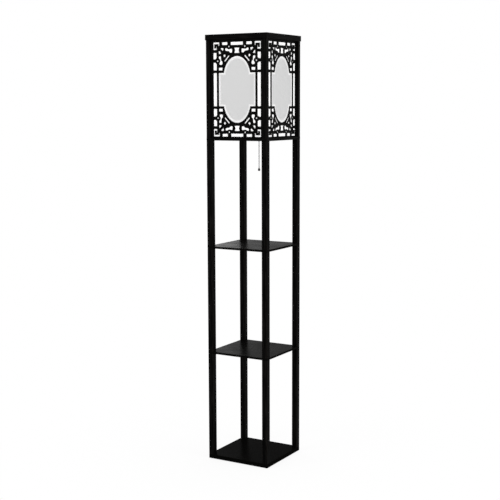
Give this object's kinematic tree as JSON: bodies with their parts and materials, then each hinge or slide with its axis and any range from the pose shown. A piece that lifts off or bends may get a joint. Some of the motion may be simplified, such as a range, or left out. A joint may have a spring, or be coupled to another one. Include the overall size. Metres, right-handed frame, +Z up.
{
  "type": "shelf floor lamp",
  "caption": "Square floor lamp with open shelf bays on slim black posts, a fretwork shade box backed by white diffuser sheets, and a pull-chain lamp holder inside.",
  "frame": {"origin": "on the floor, below the middle of the lamp", "axes": "+Z up, -Y out of the front, +X to the right seen from the front"},
  "size_m": [0.26, 0.26, 1.6],
  "materials": {
    "black_wood": "satin black lacquer",
    "fretwork": "satin black lacquer",
    "diffuser": "translucent white sheet",
    "dowel_wood": "bare",
    "steel": "zinc plated",
    "chain": "nickel plated",
    "knob": "gloss",
    "pads": "matt",
    "shell": "semi-gloss",
    "insulator": "matt",
    "brass": "plain",
    "bulb_cap_metal": "nickel bright",
    "bulb": "opal"
  },
  "bodies": {
    "frame": {"base_board": "black_wood", "base_bolts": "steel", "cap_dowels": "dowel_wood", "cap_rail_back": "black_wood", "cap_rail_front": "black_wood", "cap_rail_left": "black_wood", "cap_rail_right": "black_wood", "centre_contact": "brass", "chain_guide": "shell", "diffuser_back": "diffuser", "diffuser_front": "diffuser", "diffuser_left": "diffuser", "diffuser_right": "diffuser", "foot_pads": "pads", "fret_panel_back": "fretwork", "fret_panel_front": "fretwork", "fret_panel_left": "fretwork", "fret_panel_right": "fretwork", "lamp_thread": "brass", "lock_nut": "steel", "lower_post_back_left": "black_wood", "lower_post_back_right": "black_wood", "lower_post_front_left": "black_wood", "lower_post_front_right": "black_wood", "lower_shelf": "black_wood", "middle_post_back_left": "black_wood", "middle_post_back_right": "black_wood", "middle_post_front_left": "black_wood", "middle_post_front_right": "black_wood", "shade_post_back_left": "black_wood", "shade_post_back_right": "black_wood", "shade_post_front_left": "black_wood", "shade_post_front_right": "black_wood", "shade_rail_back": "black_wood", "shade_rail_dowels": "dowel_wood", "shade_rail_front": "black_wood", "shade_rail_left": "black_wood", "shade_rail_right": "black_wood", "shade_studs": "steel", "shelf_studs": "steel", "socket_body": "insulator", "socket_cup": "shell", "socket_shell": "shell", "socket_strap": "steel", "spool_pin": "steel", "strap_screws": "steel", "threaded_nipple": "steel", "upper_post_back_left": "black_wood", "upper_post_back_right": "black_wood", "upper_post_front_left": "black_wood", "upper_post_front_right": "black_wood", "upper_shelf": "black_wood"},
    "spool": {"switch_spool": "insulator"},
    "chain_lead": {"chain_lead": "chain"},
    "pull_chain": {"pull_chain": "chain", "chain_knob": "knob"},
    "bulb_tip": {"bulb_tip": "bulb_cap_metal"},
    "bulb": {"bulb_cap": "bulb_cap_metal", "bulb_globe": "bulb"}
  },
  "joints": [
    {"name": "chain_pull", "type": "slide", "parent": "frame", "child": "chain_lead", "axis": [0, 0, -1], "range_m": [0, 0.01], "stiffness_N_per_m": 400, "springref_m": -0.002},
    {"name": "spool_turn", "type": "hinge", "parent": "frame", "child": "spool", "pos_m": [0.0145, 0, 1.269], "axis": [0, 1, 0], "range_deg": [0, 75]},
    {"name": "chain_swing", "type": "hinge", "parent": "chain_lead", "child": "pull_chain", "pos_m": [0.0225, 0, 1.2485], "axis": [1, 0, 0], "range_deg": [-20, 20]},
    {"name": "bulb_turn", "type": "hinge", "parent": "bulb_tip", "child": "bulb", "pos_m": [0, 0, 1.2973], "axis": [0, 0, 1], "range_deg": [0, 900]},
    {"name": "bulb_lift", "type": "slide", "parent": "frame", "child": "bulb_tip", "axis": [0, 0, 1], "range_m": [0, 0.009]}
  ],
  "couplings": [
    {"joint": "spool_turn", "follows": "chain_pull", "rad_per_m": 125},
    {"joint": "bulb_turn", "follows": "bulb_lift", "rad_per_m": 1731.4}
  ]
}
